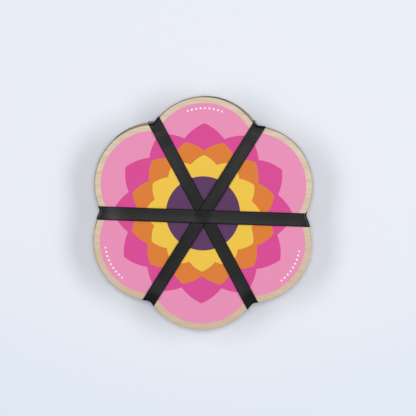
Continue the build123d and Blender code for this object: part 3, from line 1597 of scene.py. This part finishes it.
    def lap_point(self, place: float) -> Vector:
        """A point of the lap's middle line, on the outside of the strap's underside.

        Args:
            place: The distance from the middle of the press.

        Returns:
            The point, before the strap is turned.
        """
        low, _ = self.heights
        end = self.lap_reach + self.lap_length / 2
        rise = smooth_step(end - place, 0, self.lap_ramp)
        off = self.thickness * (self.lap_rest_share + (1 - self.lap_rest_share) * rise)
        return Vector((place, 0, low - self.lift(place) - self.swell(self.corner(1, low) - place) - off))

    def build(self) -> Object:
        """Makes the loop and its lap.

        Returns:
            The strap, which stretches between the boards in place of its node.
        """
        draft = MeshDraft()
        loop = self.half_loop(1) + self.half_loop(-1)[-2:0:-1]
        self.sweep(draft, loop, [self.thinness(point) for point in loop], True)
        half = self.lap_length / 2
        places = evenly(self.lap_reach + half, self.lap_reach - half, self.lap_steps)
        thin = [self.lap_end_share] + [1.0] * (self.lap_steps - 1) + [self.lap_end_share]
        self.sweep(draft, [self.lap_point(place) for place in places], thin, False)
        node = f"strap_{self.level.word}"
        piece = draft.piece(f"{node}_dressed", [WovenElastic("black_elastic").material()], self.sharp_degrees)
        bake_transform(piece)
        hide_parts(node)
        return piece


@dataclass
class Seam:
    """The zigzag stitches across a strap's lap."""

    strap: Strap
    thread: float = 0.3 * MM
    stitch_length: float = 2.2 * MM
    stitch_pitch: float = 1.4 * MM
    slant: float = math.radians(25)
    to_lap_end: float = 2.5 * MM
    sides: int = 10
    steps: int = 10
    sharp_degrees: float = 60

    def stitch(self, draft: MeshDraft, row: float, across: float, slant: float) -> None:
        """Adds one stitch, which dips into the elastic at both ends.

        Args:
            draft: The mesh that it goes into.
            row: The stitch's distance from the middle of the press.
            across: Its distance from the strap's middle line.
            slant: Its angle to the strap.
        """
        radius = self.thread / 2
        heading = polar(slant)
        sideways = polar(slant + TAU / 4).to_3d()
        rings = []
        for way in evenly(0, 1, self.steps):
            reach = (way - 0.5) * self.stitch_length
            place = row + reach * heading.x
            face = self.strap.lap_point(place).z - self.strap.thickness / 2
            arch = math.sqrt(math.sin(math.pi * way))
            beside = across + reach * heading.y - self.strap.fit.slip
            centre = Vector((place, beside, face - radius * (2 * arch - 1)))
            ring = []
            for angle in evenly(0, TAU, self.sides)[:-1]:
                spot = centre + sideways * radius * math.cos(angle) + Vector((0, 0, radius * math.sin(angle)))
                ring.append(self.strap.turn @ spot)
            rings.append(draft.add(ring))
        draft.tube(rings, evenly(0, self.stitch_length, self.steps), evenly(0, 1, self.sides))

    def build(self) -> Object:
        """Makes both rows of stitches.

        Returns:
            The seam, riding on the base in place of its node.
        """
        draft = MeshDraft()
        count = int(self.strap.fit.width / self.stitch_pitch) - 1
        reach = self.strap.lap_length / 2 - self.to_lap_end
        for row in (self.strap.lap_reach - reach, self.strap.lap_reach + reach):
            for number in range(count):
                across = (number - (count - 1) / 2) * self.stitch_pitch
                self.stitch(draft, row, across, self.slant * (-1) ** number)
        node = f"seam_{self.strap.level.word}"
        piece = draft.piece(f"{node}_dressed", [SewingThread("black_thread").material()], self.sharp_degrees)
        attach(piece, self.strap.body)
        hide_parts(node)
        return piece


@dataclass(frozen=True)
class SoftBox:
    """A soft oblong lamp that faces the press, with its long side level."""

    name: str
    around: float
    tilt: float
    distance: float
    width: float
    length: float
    light_share: float
    colour: Axes = (1.0, 0.983, 0.945)

    def hang(self) -> None:
        """Hangs the lamp, with the power that gives its share of the floor's light."""
        lamp = bpy.data.lights.new(self.name, "AREA")
        lamp.shape = "RECTANGLE"
        lamp.size = self.length
        lamp.size_y = self.width
        lamp.color = self.colour
        lamp.energy = self.light_share * (math.pi * self.distance) ** 2 / math.cos(self.tilt)
        hung = bpy.data.objects.new(self.name, lamp)
        away = polar(self.around, math.sin(self.tilt)).to_3d() + Vector((0, 0, math.cos(self.tilt)))
        hung.location = away * self.distance
        hung.rotation_euler = away.to_track_quat("Z", "Y").to_euler()
        bpy.context.scene.collection.objects.link(hung)


@dataclass
class Studio:
    """The floor, the lights and the camera over the press."""

    pixel: float = 0.7698 * MM
    camera_distance: float = 2.0
    lean_up: float = math.radians(3.0)
    lean_right: float = math.radians(0.2)
    roll: float = math.radians(1.97)
    press_pixel: Span = (202.97, 213.41)
    sensor: float = 36.0
    floor_half: float = 3.0
    room_colour: Colour = (0.84, 0.97, 1.24, 1.0)
    room_share: float = 0.16
    lamps: tuple[SoftBox, ...] = (
        SoftBox("lamp_above", math.radians(90), math.radians(4.5), 1.7, 0.3, 0.3, 0.348),
        SoftBox("lamp_right", math.radians(6.5), math.radians(36), 1.6, 0.6, 1.2, 0.303),
        SoftBox("lamp_left", math.radians(173.5), math.radians(36), 1.6, 0.6, 1.2, 0.255),
    )

    def floor(self) -> None:
        """Lays the floor under the press."""
        draft = MeshDraft()
        signs = ((-1, -1), (1, -1), (1, 1), (-1, 1))
        draft.face(draft.add(Vector((x, y, 0)) * self.floor_half for x, y in signs))
        ground = draft.piece("floor", [StudioFloor("studio_floor").material()])

    def lights(self) -> None:
        """Lights the press by its lamps, in a dim pale room."""
        world = bpy.data.worlds.new("pale_room")
        world.use_nodes = True
        sky = world.node_tree.nodes["Background"]
        sky.inputs["Color"].default_value = self.room_colour
        sky.inputs["Strength"].default_value = self.room_share
        bpy.context.scene.world = world
        for lamp in self.lamps:
            lamp.hang()

    def camera(self) -> None:
        """Sets the camera nearly straight above, as the photograph was taken."""
        right, up = polar(self.roll).to_3d(), polar(self.roll + TAU / 4).to_3d()
        middle = IMAGE_SIDE_PIXELS / 2
        aside = (middle - self.press_pixel[0]) * self.pixel
        above = (self.press_pixel[1] - middle) * self.pixel
        target = right * aside + up * above + Vector((0, 0, span("top_board")[1]))
        lean = up * math.tan(self.lean_up) + right * math.tan(self.lean_right)
        back = (lean + Vector((0, 0, 1))).normalized()
        right = up.cross(back).normalized()
        up = back.cross(right)
        data = bpy.data.cameras.new("camera")
        data.sensor_width = self.sensor
        data.lens = self.sensor * self.camera_distance / (IMAGE_SIDE_PIXELS * self.pixel)
        shot = bpy.data.objects.new("camera", data)
        axes = Matrix((right, up, back)).transposed().to_4x4()
        shot.matrix_world = Matrix.Translation(target + back * self.camera_distance) @ axes
        bpy.context.scene.collection.objects.link(shot)
        bpy.context.scene.camera = shot

    def build(self) -> None:
        """Sets up the floor, the lights and the camera."""
        self.floor()
        self.lights()
        self.camera()
        bpy.context.scene.view_settings.view_transform = "Standard"


def report(piece: Object) -> None:
    """Logs one finished piece."""
    log.info("%s: %d faces", piece.name, len(piece.data.polygons))


def main() -> None:
    """Builds the stack, the straps with their seams, and the studio."""
    logging.basicConfig(level=logging.INFO, format="%(name)s: %(message)s")
    for layer in PressStack().layers():
        report(layer.build())
    for level in Level:
        strap = Strap(level)
        report(strap.build())
        report(Seam(strap).build())
    Studio().build()


if __name__ == "__main__":
    main()
